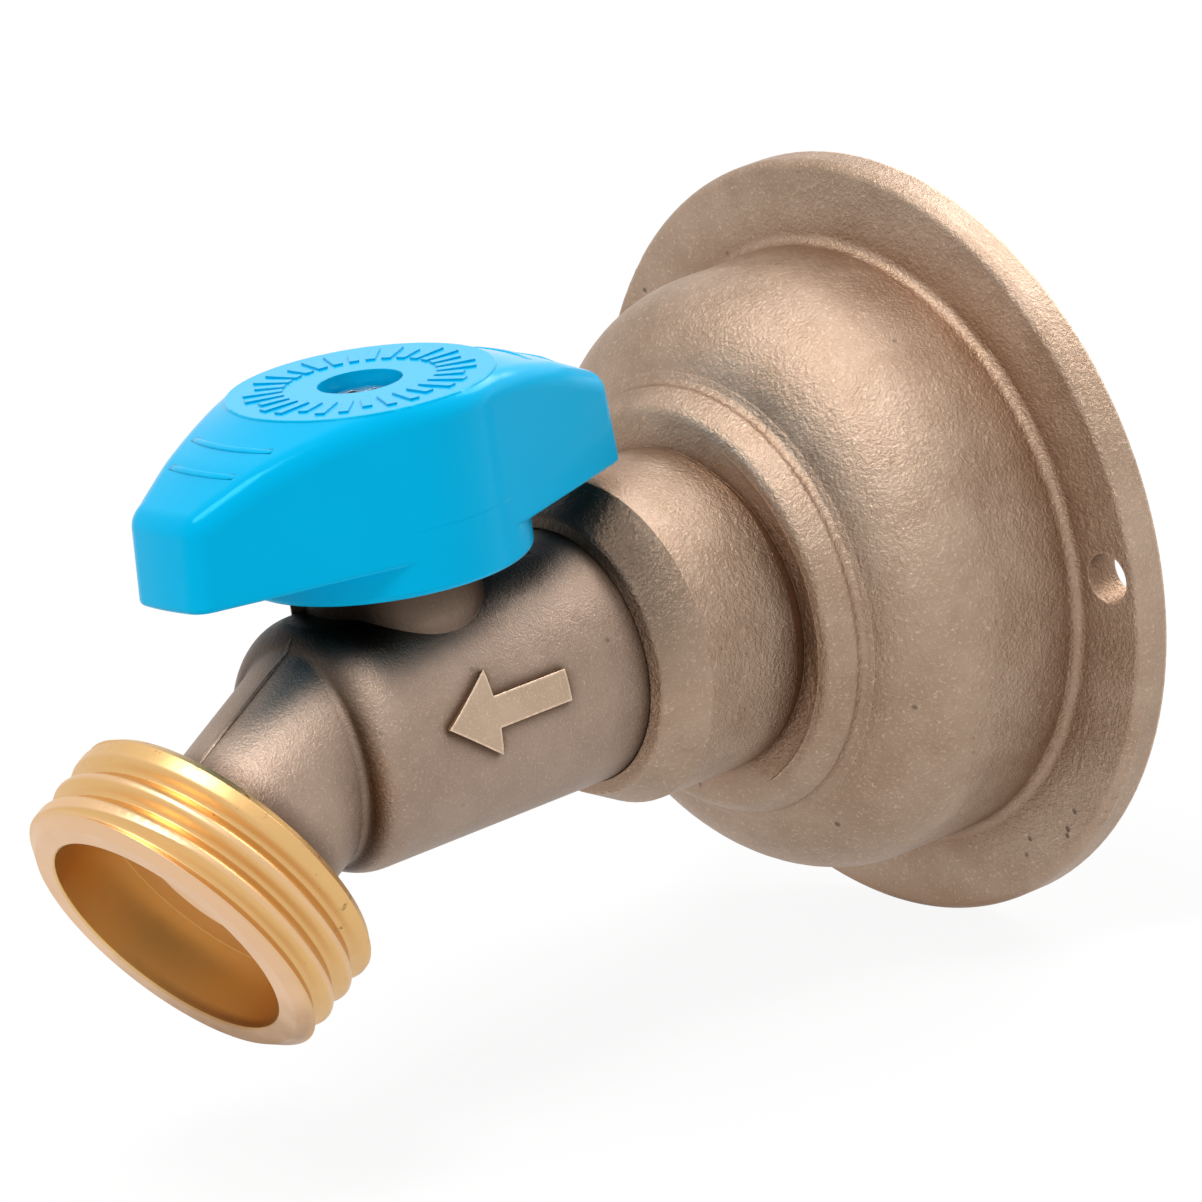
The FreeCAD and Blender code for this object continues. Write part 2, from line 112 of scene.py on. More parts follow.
# Flow arrow on the barrel
arrow_length = 12.0 * MM
arrow_head_length = 4.8 * MM
arrow_head_width = 6.6 * MM
arrow_shaft_width = 2.4 * MM
arrow_height = 0.45 * MM
arrow_lift_deg = 8.0
arrow_setback = 1.2 * MM

# Ring of bars on the handle's disc: every third one is shorter
tick_count = 30
tick_group = 3
tick_inner = 5.9 * MM
tick_outer = 8.9 * MM
tick_shorter = 0.7 * MM
tick_width = 0.75 * MM
tick_height = 0.14 * MM

# Arcs on each wing: distance from the stem and half the angle in degrees
crown_arcs = ((13.6 * MM, 20.0), (16.4 * MM, 13.0))
crown_arc_radius = 0.32 * MM
crown_arc_flatness = 0.45
crown_arc_steps = 36

# Parting line, from and to distances in front of the stem
parting_start = 10.2 * MM
parting_end = 20.6 * MM
parting_radius = 0.22 * MM
parting_flatness = 0.7
parting_steps = 40


# Mesh helpers
def new_object(name, mesh):
    made = bpy.data.objects.new(name, mesh)
    bpy.context.scene.collection.objects.link(made)
    return made


def mesh_from_bmesh(name, built):
    mesh = bpy.data.meshes.new(name)
    built.to_mesh(mesh)
    built.free()
    return mesh


def swept(name, rings):
    """A tube with closed ends through rings of points that all have the same count."""
    built = bmesh.new()
    loops = [[built.verts.new(point) for point in ring] for ring in rings]
    count = len(loops[0])
    for near, far in zip(loops, loops[1:]):
        for i in range(count):
            j = (i + 1) % count
            built.faces.new((near[i], near[j], far[j], far[i]))
    built.faces.new(list(reversed(loops[0])))
    built.faces.new(loops[-1])
    bmesh.ops.recalc_face_normals(built, faces=built.faces)
    return new_object(name, mesh_from_bmesh(name, built))


def shade(made, sharp_deg=32.0):
    """Smooth shading with edges kept where faces meet at more than an angle."""
    mesh = made.data
    if "custom_normal" in mesh.attributes:
        mesh.attributes.remove(mesh.attributes["custom_normal"])
    mesh.polygons.foreach_set("use_smooth", [True] * len(mesh.polygons))
    mesh.set_sharp_from_angle(angle=math.radians(sharp_deg))


def copy_of_node(node_name, name):
    """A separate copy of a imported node's mesh, with its split corners joined."""
    same_point = 0.001 * MM
    built = bmesh.new()
    built.from_mesh(nodes[node_name].data)
    bmesh.ops.remove_doubles(built, verts=built.verts, dist=same_point)
    return new_object(name, mesh_from_bmesh(name, built))


def cut_with(made, cutter):
    """Cuts a closed mesh out of another and throws the cutter away."""
    modifier = made.modifiers.new("cut", "BOOLEAN")
    modifier.operation = "DIFFERENCE"
    modifier.solver = "EXACT"
    modifier.object = cutter
    evaluated = made.evaluated_get(bpy.context.evaluated_depsgraph_get())
    mesh = bpy.data.meshes.new_from_object(evaluated)
    made.modifiers.clear()
    made.data = mesh
    bpy.data.objects.remove(cutter)


def joined(name, pieces, body_name):
    """One object from several, riding on a body."""
    built = bmesh.new()
    for piece in pieces:
        built.from_mesh(piece.data)
        bpy.data.objects.remove(piece)
    made = new_object(name, mesh_from_bmesh(name, built))
    shade(made)
    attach(made, body_name)
    return made


# Hose thread: a helical groove cut into a copy of the valve body
def groove_section():
    """The groove's section as setback from its middle and radius, with a rounded root."""
    half_mouth = (thread_pitch - thread_crest_flat) / 2
    beyond = nipple_radius + groove_overshoot
    points = [(-half_mouth, beyond)]
    for i in range(groove_steps + 1):
        share = i / groove_steps * 2 - 1
        depth = (1 + math.cos(math.pi * share)) / 2 * (nipple_radius - thread_root)
        points.append((share * half_mouth, nipple_radius - depth))
    points.append((half_mouth, beyond))
    return points


def groove_rings():
    """Rings of the groove's section from its start in the rim to its run-out behind the last crest."""
    inward = -outlet_way
    down = inward.cross(X_AXIS)
    depth = nipple_radius - thread_root
    section = groove_section()
    rings = []
    for i in range(round((thread_turns - thread_start_turn) * steps_per_turn) + 1):
        turn = thread_start_turn + i / steps_per_turn
        angle = math.radians(first_crest_deg) + turn * 2 * math.pi
        out = X_AXIS * math.cos(angle) + down * math.sin(angle)
        middle = outlet_face + inward * (first_crest + thread_pitch * (turn + 0.5))
        nearest_end = min(thread_turns - turn, turn - thread_start_turn)
        faded = max(0.0, 1 - nearest_end / thread_fade_turns)
        lift = faded * depth * groove_end_lift
        rings.append([middle + inward * setback + out * (radius + lift) for setback, radius in section])
    return rings


def make_threaded_body():
    body = copy_of_node("valve_body", "valve_body_threaded")
    cut_with(body, swept("groove", groove_rings()))
    shade(body)
    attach(body, "housing")
    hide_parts("valve_body")
    return body


# Inlet thread: a helical ridge in the tapped socket
def make_inlet_thread():
    wall = inlet_radius + inlet_root_overlap
    turns = inlet_length / inlet_pitch - 2 * inlet_clear_turns
    rings = []
    for i in range(round(turns * steps_per_turn) + 1):
        turn = i / steps_per_turn
        angle = turn * 2 * math.pi
        out = X_AXIS * math.cos(angle) + Z_AXIS * math.sin(angle)
        middle = inlet_mouth - Y_AXIS * inlet_pitch * (turn + inlet_clear_turns)
        taper = min(1.0, turn / inlet_fade_turns, (turns - turn) / inlet_fade_turns)
        rings.append([
            middle + Y_AXIS * inlet_ridge_half + out * wall,
            middle + out * (inlet_radius - inlet_thread_depth * taper),
            middle - Y_AXIS * inlet_ridge_half + out * wall,
        ])
    thread = swept("inlet_thread", rings)
    shade(thread, sharp_deg=20.0)
    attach(thread, "housing")
    return thread


# Raised marks that follow the surface below them
def surface_of(node_name):
    mesh = nodes[node_name].data
    return BVHTree.FromPolygons([v.co for v in mesh.vertices], [p.vertices for p in mesh.polygons])


def dropped_on(surface, starts):
    """The points and normals of a surface straight below some starts."""
    hits = [surface.ray_cast(start, -Z_AXIS) for start in starts]
    return [hit[0] for hit in hits], [hit[1] for hit in hits]


def cut_into_cells(flat, outline, step):
    """Cuts a flat face along both axes into cells no longer than a step."""
    low = [min(p[i] for p in outline) for i in (0, 1)]
    high = [max(p[i] for p in outline) for i in (0, 1)]
    for axis in (0, 1):
        for k in range(1, math.ceil((high[axis] - low[axis]) / step)):
            cut = Vector((0, 0, 0))
            cut[axis] = low[axis] + k * step
            normal = Vector((axis == 0, axis == 1, 0))
            everything = flat.verts[:] + flat.edges[:] + flat.faces[:]
            bmesh.ops.bisect_plane(flat, geom=everything, plane_co=cut, plane_no=normal)
    flat.verts.index_update()


def plate_on_surface(name, outline, place, height, step=0.5 * MM, sink=0.15 * MM):
    """A raised plate: an outline in the plane, cut into small cells and laid on a surface.

    place gives the surface point and its normal for a point of the plane."""
    flat = bmesh.new()
    flat.faces.new([flat.verts.new((x, y, 0)) for x, y in outline])
    cut_into_cells(flat, outline, step)
    built = bmesh.new()
    tops = []
    bottoms = []
    for vert in flat.verts:
        point, normal = place(vert.co.x, vert.co.y)
        tops.append(built.verts.new(point + normal * height))
        bottoms.append(built.verts.new(point - normal * sink))
    for face in flat.faces:
        ids = [v.index for v in face.verts]
        built.faces.new([tops[i] for i in ids])
        built.faces.new([bottoms[i] for i in reversed(ids)])
    for edge in flat.edges:
        if len(edge.link_faces) == 1:
            a, b = (v.index for v in edge.verts)
            built.faces.new((tops[a], tops[b], bottoms[b], bottoms[a]))
    flat.free()
    bmesh.ops.recalc_face_normals(built, faces=built.faces)
    made = new_object(name, mesh_from_bmesh(name, built))
    shade(made)
    return made


def make_flow_arrow():
    """A plain raised arrow on the barrel's side that points to the outlet."""
    shaft = arrow_shaft_width / 2
    head = arrow_head_width / 2
    back = arrow_length / 2
    neck = arrow_head_length - back
    upper = [(-back, 0), (neck, head), (neck, shaft), (back, shaft)]
    lower = [(back, -shaft), (neck, -shaft), (neck, -head)]

    def place(along, across):
        angle = math.radians(arrow_lift_deg) + across / barrel_radius
        out = Vector((math.cos(angle), 0, math.sin(angle)))
        return out * barrel_radius + Y_AXIS * (stem_axis.y + along + arrow_setback), out

    arrow = plate_on_surface("flow_arrow", upper + lower, place, arrow_height)
    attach(arrow, "housing")
    return arrow


def make_dial_ticks():
    """A ring of plain raised bars on the handle's disc, round the screw."""
    half = tick_width / 2
    ticks = []
    for k in range(tick_count):
        turn = 2 * math.pi * k / tick_count
        outer = tick_outer if k % tick_group else tick_outer - tick_shorter
        outline = [(tick_inner, -half), (outer, -half), (outer, half), (tick_inner, half)]

        def place(along, across, turn=turn):
            x = along * math.cos(turn) - across * math.sin(turn)
            y = along * math.sin(turn) + across * math.cos(turn)
            return Vector((stem_axis.x + x, stem_axis.y + y, handle_top)), Z_AXIS

        ticks.append(plate_on_surface("tick_%d" % k, outline, place, tick_height, step=tick_outer))
    return joined("dial_ticks", ticks, "turning")


def rib_along(name, points, normals, radius, flatness, sides=8):
    """A thin raised line through points of a surface, tapered in height towards both ends."""
    lowest = 0.05
    taper_share = 0.25
    count = len(points)
    rings = []
    for i, (point, normal) in enumerate(zip(points, normals)):
        ahead = (points[min(i + 1, count - 1)] - points[max(i - 1, 0)]).normalized()
        side = ahead.cross(normal).normalized()
        from_end = min(i, count - 1 - i) / count
        height = radius * flatness * max(lowest, min(1.0, from_end / taper_share))
        ring = []
        for k in range(sides):
            angle = 2 * math.pi * k / sides
            ring.append(point + side * (radius * math.cos(angle)) + normal * (height * math.sin(angle)))
        rings.append(ring)
    made = swept(name, rings)
    shade(made, sharp_deg=60.0)
    return made


def make_parting_line():
    """The forging's parting line, over the barrel's front end and down the spout."""
    above_barrel = 14 * MM
    starts = []
    for i in range(parting_steps + 1):
        reach = parting_start + (parting_end - parting_start) * i / parting_steps
        starts.append(Vector((0, stem_axis.y - reach, above_barrel)))
    points, normals = dropped_on(surface_of("valve_body"), starts)
    line = rib_along("parting_line", points, normals, parting_radius, parting_flatness)
    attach(line, "housing")
    return line


def make_crown_arcs():
    """Two plain raised arcs on the slope of each wing."""
    above_handle = 20 * MM
    surface = surface_of("handle")
    arcs = []
    for side in (-1, 1):
        for radius, half_deg in crown_arcs:
            starts = []
            for i in range(crown_arc_steps + 1):
                angle = math.radians(side * 90 + half_deg * (2 * i / crown_arc_steps - 1))
                away = Vector((radius * math.cos(angle), radius * math.sin(angle), above_handle))
                starts.append(stem_axis + away)
            points, normals = dropped_on(surface, starts)
            arcs.append(rib_along("arc", points, normals, crown_arc_radius, crown_arc_flatness))
    return joined("crown_arcs", arcs, "turning")


# Shader node helpers
def new_material(name):
    material = bpy.data.materials.new(name)
    material.use_nodes = True
    tree = material.node_tree
    shader = tree.nodes["Principled BSDF"]
    return material, tree, shader


def add(tree, kind, settings=None, inputs=None):
    """A node with its settings and its sockets, which take values or other sockets."""
    made = tree.nodes.new(kind)
    for name, value in (settings or {}).items():
        setattr(made, name, value)
    for name, value in (inputs or {}).items():
        socket = made.inputs[name]
        if isinstance(value, bpy.types.NodeSocket):
            tree.links.new(value, socket)
        else:
            socket.default_value = value
    return made


def scaled(colour, factor, warmth=1.0):
    """A colour made lighter or darker, and warmer where warmth is under one."""
    red, green, blue = (min(1.0, c * factor) for c in colour[:3])
    return (red, green * warmth, blue * warmth * warmth, 1.0)


def object_place(tree):
    return add(tree, "ShaderNodeTexCoord").outputs["Object"]


def noise(tree, place, scale, detail, roughness):
    return add(tree, "ShaderNodeTexNoise", inputs={
        "Vector": place, "Scale": scale, "Detail": detail, "Roughness": roughness}).outputs["Fac"]


def ramp(tree, value, low, high, to_low=0.0, to_high=1.0):
    """A value mapped from one range to another and clamped."""
    return add(tree, "ShaderNodeMapRange", inputs={
        "Value": value, "From Min": low, "From Max": high,
        "To Min": to_low, "To Max": to_high}).outputs["Result"]


def math_node(tree, operation, a, b=0.0):
    return add(tree, "ShaderNodeMath", {"operation": operation}, {0: a, 1: b}).outputs[0]


def total(tree, a, b):
    return math_node(tree, "ADD", a, b)


def product(tree, first, *others):
    for other in others:
        first = math_node(tree, "MULTIPLY", first, other)
    return first


def square(tree, value):
    return math_node(tree, "POWER", value, 2.0)


def offset_from(tree, place, point):
    return add(tree, "ShaderNodeVectorMath", {"operation": "SUBTRACT"}, {0: place, 1: point}).outputs[0]


def dot(tree, a, b):
    return add(tree, "ShaderNodeVectorMath", {"operation": "DOT_PRODUCT"}, {0: a, 1: b}).outputs["Value"]


def length(tree, vector):
    return add(tree, "ShaderNodeVectorMath", {"operation": "LENGTH"}, {0: vector}).outputs["Value"]


def parts_of(tree, vector):
    return add(tree, "ShaderNodeSeparateXYZ", inputs={"Vector": vector}).outputs


def mix_colour(tree, share, a, b):
    return add(tree, "ShaderNodeMix", {"data_type": "RGBA"}, {0: share, 6: a, 7: b}).outputs[2]


def rounded_normal(tree, radius):
    return add(tree, "ShaderNodeBevel", {"samples": 6}, {"Radius": radius}).outputs["Normal"]


def openness(tree, reach):
    """One in the open and less in corners, within a reach."""
    return add(tree, "ShaderNodeAmbientOcclusion", {"samples": 6}, {"Distance": reach}).outputs["AO"]


def bumped(tree, heights, edge_radius):
    """A bump chain over the rounded-edge normal, from pairs of height and depth."""
    normal = rounded_normal(tree, edge_radius)
    for height, depth in heights:
        normal = add(tree, "ShaderNodeBump", inputs={
            "Height": height, "Distance": depth, "Strength": 1.0, "Normal": normal}).outputs["Normal"]
    return normal


def finish_shader(tree, shader, colour, roughness, normal, metallic):
    tree.links.new(colour, shader.inputs["Base Color"])
    tree.links.new(roughness, shader.inputs["Roughness"])
    tree.links.new(normal, shader.inputs["Normal"])
    shader.inputs["Metallic"].default_value = metallic


# Masks that follow the tap's own places
def handle_shadow_round_stem(tree, place, speckle, reach_range, drop_range):
    """One where the painted shadow of the handle falls.

    It fades out between two distances from the stem and between two drops below the handle."""
    ragged_reach = 5 * MM
    ragged_drop = 4 * MM
    apart = parts_of(tree, offset_from(tree, place, stem_axis))
    reach = math_node(tree, "SQRT", total(tree, square(tree, apart["X"]), square(tree, apart["Y"])))
    reach = total(tree, reach, product(tree, speckle, ragged_reach))
    near = ramp(tree, reach, reach_range[1], reach_range[0])
    depth = total(tree, apart["Z"], product(tree, speckle, ragged_drop))
    high = ramp(tree, depth, -drop_range[1], -drop_range[0])
    return product(tree, near, high)


def spout_side(tree, place):
    """One in front of the stem, towards the spout, and nought behind it."""
    setback = parts_of(tree, offset_from(tree, place, stem_axis))["Y"]
    return ramp(tree, setback, -2 * MM, -6 * MM)


def round_outlet_axis(tree, place):
    """A point's offset from the outlet's face, its depth behind that face and its distance from the axis."""
    offset = offset_from(tree, place, outlet_face)
    along = dot(tree, offset, -outlet_way)
    squared = math_node(tree, "SUBTRACT", square(tree, length(tree, offset)), square(tree, along))
    return offset, along, math_node(tree, "SQRT", squared)


def crease_shade_round_spout(tree, place, speckle):
    """One in the crease where the spout leaves the barrel, which gets painted shade."""
    ragged_edge = 1.2 * MM
    _, along, radius = round_outlet_axis(tree, place)
    inner = ramp(tree, radius, spout_radius + 0.02 * MM, spout_radius + 0.35 * MM)
    ragged = total(tree, radius, product(tree, speckle, ragged_edge))
    outer = ramp(tree, ragged, spout_radius + 2.4 * MM, spout_radius + 1.2 * MM)
    near = ramp(tree, along, 24.0 * MM, 20.0 * MM)
    return product(tree, inner, outer, near)


# Blasted metals: layers of colour from the bare metal outwards
def blotched(tree, place, patches, grain, light, dark, pale):
    """Two tones in broad and small blotches, with painted glints, pale sparkles where the grain stands up."""
    broad = noise(tree, place, 45.0, 4.0, 0.6)
    mottle = total(tree, product(tree, broad, 0.55), product(tree, patches, 0.45))
    colour = mix_colour(tree, ramp(tree, mottle, 0.38, 0.62), dark, light)
    # Painted glint: pale colour on the grain's peaks.
    painted_glint = product(tree, ramp(tree, grain, 0.56, 0.72), 0.6)
    return mix_colour(tree, painted_glint, colour, pale)


def edges_worn_and_highlighted(tree, colour, pale, true_normal, coarse, open_share):
    """Pale metal on convex edges, broken up by the coarse grain: partly wear, partly a painted highlight."""
    edge_round = 0.35 * MM
    facing = dot(tree, rounded_normal(tree, edge_round), true_normal)
    edge = product(tree, ramp(tree, facing, 0.995, 0.93), ramp(tree, open_share, 0.75, 0.95))
    broken = ramp(tree, coarse, 0.35, 0.6, 0.35, 1.0)
    return mix_colour(tree, product(tree, edge, broken), colour, pale)


def corners_stained_and_shaded(tree, colour, dark, open_share, corner_range, corner_shade):
    """Brown in the corners and darker in tight seams: partly stain, partly painted shade in the hollows."""
    seam_reach = 0.7 * MM
    corner = product(tree, ramp(tree, open_share, *corner_range), 0.8)
    colour = mix_colour(tree, corner, colour, scaled(dark, corner_shade, 0.8))
    seam = product(tree, ramp(tree, openness(tree, seam_reach), 0.85, 0.5), 0.45)
    return mix_colour(tree, seam, colour, scaled(dark, 0.3, 0.85))


def painted_handle_shadow(tree, colour, dark, place, grain, true_normal, is_casting):
    """A painted shadow of the handle round the stem, and a painted near-black shadow core in front of it.

    The casting gets it on faces that look at the stem, and the body gets less of it on its +X side."""
    turned = parts_of(tree, true_normal)
    if is_casting:
        shaded_facing = ramp(tree, turned["Y"], -0.22, -0.08, 1.0, 0.0)
        shadow_share = handle_shadow_round_stem(tree, place, grain, (22.0 * MM, 29.0 * MM), (8.0 * MM, 19.0 * MM))
    else:
        shaded_facing = ramp(tree, turned["X"], 0.55, 0.85, 1.0, 0.5)
        shadow_share = handle_shadow_round_stem(tree, place, grain, (13.5 * MM, 22.0 * MM), (6.5 * MM, 12.5 * MM))
    shadow_core = handle_shadow_round_stem(tree, place, grain, (12.0 * MM, 16.0 * MM), (7.0 * MM, 11.5 * MM))
    # Painted shadow: a dark tone where the handle shades the metal.
    colour = mix_colour(tree, product(tree, shadow_share, shaded_facing, 0.85), colour, scaled(dark, 0.16))
    shadow_core = product(tree, shadow_core, shaded_facing, spout_side(tree, place))
    # Painted shadow: near black in front of the stem, under the handle.
    return mix_colour(tree, shadow_core, colour, scaled(dark, 0.04))


def pitting(tree, place, share):
    """One in small round pits that lie in loose groups."""
    cells = add(tree, "ShaderNodeTexVoronoi", inputs={"Vector": place, "Scale": 620.0}).outputs["Distance"]
    groups = noise(tree, place, 150.0, 2.0, 0.5)
    return product(tree, ramp(tree, cells, 0.20, 0.08), ramp(tree, groups, 0.60, 0.66), share)


def make_blasted_metal(name, light, dark, grain_size, grain_depth, pit_share, corner_range,
                       corner_shade, is_casting):
    """Sand-cast or blasted copper alloy: mottled, grainy, pitted, pale on edges and brown in corners, with painted
    glints, edge highlight, shade and the handle's shadow.
    """
    corner_reach = 4.0 * MM
    edge_round = 0.12 * MM
    material, tree, shader = new_material(name)
    place = object_place(tree)
    true_normal = add(tree, "ShaderNodeNewGeometry").outputs["Normal"]
    patches = noise(tree, place, 260.0, 5.0, 0.65)
    coarse = noise(tree, place, 0.4 / grain_size, 3.0, 0.6)
    grain = noise(tree, place, 1 / grain_size, 3.0, 0.7)
    open_share = openness(tree, corner_reach)
    pit = pitting(tree, place, pit_share)
    pale = scaled(light, 1.65)

    colour = blotched(tree, place, patches, grain, light, dark, pale)
    # Pale edges: partly wear, partly a painted highlight.
    colour = edges_worn_and_highlighted(tree, colour, pale, true_normal, coarse, open_share)
    # Corners and seams: partly brown stain, partly painted shade.
    colour = corners_stained_and_shaded(tree, colour, dark, open_share, corner_range, corner_shade)
    if not is_casting:
        # Painted shade: dark brown in the crease between spout and barrel.
        crease_shade = product(tree, crease_shade_round_spout(tree, place, grain), 0.85)
        colour = mix_colour(tree, crease_shade, colour, scaled(dark, 0.2, 0.8))
    # Painted shadow of the handle round the stem.
    colour = painted_handle_shadow(tree, colour, dark, place, grain, true_normal, is_casting)
    colour = mix_colour(tree, pit, colour, scaled(dark, 0.45))

    roughness = total(tree, ramp(tree, patches, 0.3, 0.7, 0.36, 0.46), product(tree, grain, 0.08))
    normal = bumped(tree, [
        (patches, 0.05 * MM),
        (coarse, grain_depth * 0.7),
        (grain, grain_depth),
        (product(tree, pit, -1.0), 0.10 * MM),
    ], edge_round)
    finish_shader(tree, shader, colour, roughness, normal, 1.0)
    return material


def make_cast_bronze():
    return make_blasted_metal(
        "cast_bronze", light=(0.47, 0.345, 0.258, 1.0), dark=(0.345, 0.235, 0.162, 1.0),
        grain_size=0.30 * MM, grain_depth=0.13 * MM, pit_share=1.0,
        corner_range=(0.92, 0.45), corner_shade=0.75, is_casting=True)


def make_forged_brass():
    return make_blasted_metal(
        "forged_brass", light=(0.42, 0.31, 0.24, 1.0), dark=(0.315, 0.225, 0.17, 1.0),
        grain_size=0.20 * MM, grain_depth=0.065 * MM, pit_share=0.6,
        corner_range=(0.97, 0.85), corner_shade=0.28, is_casting=False)


def make_worn_brass():
    """The arrow's metal, rubbed paler than the body's."""
    return make_blasted_metal(
        "worn_brass", light=(0.56, 0.42, 0.31, 1.0), dark=(0.44, 0.32, 0.225, 1.0),
        grain_size=0.20 * MM, grain_depth=0.02 * MM, pit_share=0.3,
        corner_range=(0.92, 0.45), corner_shade=0.75, is_casting=False)


# Turned brass of the nipple
def turned_tones(tree, along, radius, face):
    """Golden in the thread, paler on its crests and on the face, orange in the bore."""
    golden = (0.74, 0.46, 0.19, 1.0)
    pale = (0.78, 0.515, 0.315, 1.0)
    bore_gold = (0.76, 0.50, 0.19, 1.0)
    bore_back = 8.2 * MM
    crest = ramp(tree, radius, nipple_radius - 0.10 * MM, nipple_radius - 0.02 * MM, 0.0, 0.6)
    crest = product(tree, crest, ramp(tree, along, 7.0 * MM, 6.0 * MM))
    colour = mix_colour(tree, math_node(tree, "MAXIMUM", crest, face), golden, pale)
    inside = product(tree, ramp(tree, radius, bore_radius + 0.15 * MM, bore_radius + 0.05 * MM),
                     ramp(tree, along, bore_back + 0.1 * MM, bore_back))
    colour = mix_colour(tree, inside, colour, bore_gold)
    floor_step = ramp(tree, radius, bore_radius - 0.02 * MM, bore_radius - 0.10 * MM)
    return mix_colour(tree, product(tree, floor_step, inside), colour, pale)


def thread_stained(tree, colour, place, along, radius):
    """Dark flecks, more of them to the back, and brown in the thread's roots."""
    fleck_brown = (0.16, 0.08, 0.025, 1.0)
    root_brown = (0.26, 0.13, 0.045, 1.0)
    root_reach = 0.8 * MM
    outside = product(tree, ramp(tree, along, 0.6 * MM, 1.6 * MM),
                      ramp(tree, radius, bore_radius + 0.3 * MM, bore_radius + 0.5 * MM))
    flecks = noise(tree, place, 900.0, 4.0, 0.65)
    flecks = total(tree, flecks, ramp(tree, along, 4.0 * MM, 8.0 * MM, -0.03, 0.045))
    stain = product(tree, ramp(tree, flecks, 0.66, 0.74), 0.75, outside)
    colour = mix_colour(tree, stain, colour, fleck_brown)
    seam = product(tree, ramp(tree, openness(tree, root_reach), 0.75, 0.4), outside, 0.6)
    return mix_colour(tree, seam, colour, root_brown)


def face_browner_below(tree, colour, offset, smudge, face):
    """Browner towards the bottom of the face: a painted darker reflection."""
    lower_face_brown = (0.36, 0.20, 0.09, 1.0)
    ragged_edge = 4 * MM
    down = (-outlet_way).cross(X_AXIS)
    drop = total(tree, dot(tree, offset, down), product(tree, smudge, ragged_edge))
    lower_face_share = product(tree, ramp(tree, drop, 6.0 * MM, 14.0 * MM), face)
    return mix_colour(tree, lower_face_share, colour, lower_face_brown)


def make_machined_brass():
    material, tree, shader = new_material("machined_brass")
    place = object_place(tree)
    offset, along, radius = round_outlet_axis(tree, place)
    smudge = noise(tree, place, 300.0, 4.0, 0.6)
    face = ramp(tree, along, 1.15 * MM, 0.5 * MM)
    colour = turned_tones(tree, along, radius, face)
    colour = thread_stained(tree, colour, place, along, radius)
    # Painted darker reflection on the lower part of the face.
    colour = face_browner_below(tree, colour, offset, smudge, face)
    marks = add(tree, "ShaderNodeCombineXYZ", inputs={"X": along, "Y": radius}).outputs[0]
    turning = noise(tree, marks, 5200.0, 2.0, 0.6)
    roughness = ramp(tree, smudge, 0.3, 0.7, 0.34, 0.45)
    normal = bumped(tree, [(turning, 0.004 * MM), (smudge, 0.012 * MM)], 0.12 * MM)
    finish_shader(tree, shader, colour, roughness, normal, 1.0)
    return material


# Plastic, plated and rubber finishes
def make_blue_plastic():
    lighter = (0.0, 0.46, 0.80, 1.0)
    darker = (0.0, 0.43, 0.76, 1.0)
    material, tree, shader = new_material("blue_plastic")
    place = object_place(tree)
    broad = noise(tree, place, 90.0, 3.0, 0.5)
    fine = noise(tree, place, 900.0, 3.0, 0.6)
    colour = mix_colour(tree, broad, darker, lighter)
    roughness = ramp(tree, fine, 0.2, 0.8, 0.10, 0.20)
    normal = bumped(tree, [(broad, 0.04 * MM), (fine, 0.004 * MM)], 0.15 * MM)
    finish_shader(tree, shader, colour, roughness, normal, 0.0)
    shader.inputs["Specular IOR Level"].default_value = 0.18
    shader.inputs["Specular Tint"].default_value = (0.1, 0.8, 1.0, 1.0)
    return material


def make_plain(name, colour, dark_share, scale, rough_range, metallic):
    """One colour with a slight unevenness in tone, gloss and relief."""
    material, tree, shader = new_material(name)
    fine = noise(tree, object_place(tree), scale, 4.0, 0.6)
    darker = tuple(c * dark_share for c in colour) + (1.0,)
    tone = mix_colour(tree, fine, darker, colour + (1.0,))
    roughness = ramp(tree, fine, 0.3, 0.7, *rough_range)
    normal = bumped(tree, [(fine, 0.01 * MM)], 0.05 * MM)
    finish_shader(tree, shader, tone, roughness, normal, metallic)
    return material


def make_plain_metal(name, colour, rough_range):
    return make_plain(name, colour, 0.8, 500.0, rough_range, 1.0)


def make_plain_matte(name, colour, rough_range):
    return make_plain(name, colour, 0.85, 700.0, rough_range, 0.0)


def make_screw_steel():
    return make_plain_metal("screw_steel", (0.75, 0.75, 0.76), (0.18, 0.32))


def make_ball_chrome():
    return make_plain_metal("ball_chrome", (0.80, 0.80, 0.82), (0.05, 0.12))


def make_seat_plastic():
    return make_plain_matte("seat_plastic", (0.85, 0.85, 0.83), (0.35, 0.5))


def make_seal_rubber():
    return make_plain_matte("seal_rubber", (0.02, 0.02, 0.02), (0.55, 0.7))


def dress(made, *materials):
    made.data.materials.clear()
    for material in materials:
        made.data.materials.append(material)


def use_second_material(made, wanted):
    """Gives the second material to the faces whose middle passes a test."""
    for polygon in made.data.polygons:
        if wanted(polygon.center):
            polygon.material_index = 1


def on_nipple(point):
    """Whether a point of the valve body is on the nipple or in its bore."""
    touching = 0.01 * MM
    farthest = 20 * MM
    offset = point - outlet_face
    return offset.dot(-outlet_way) < nipple_length + touching and offset.length < farthest


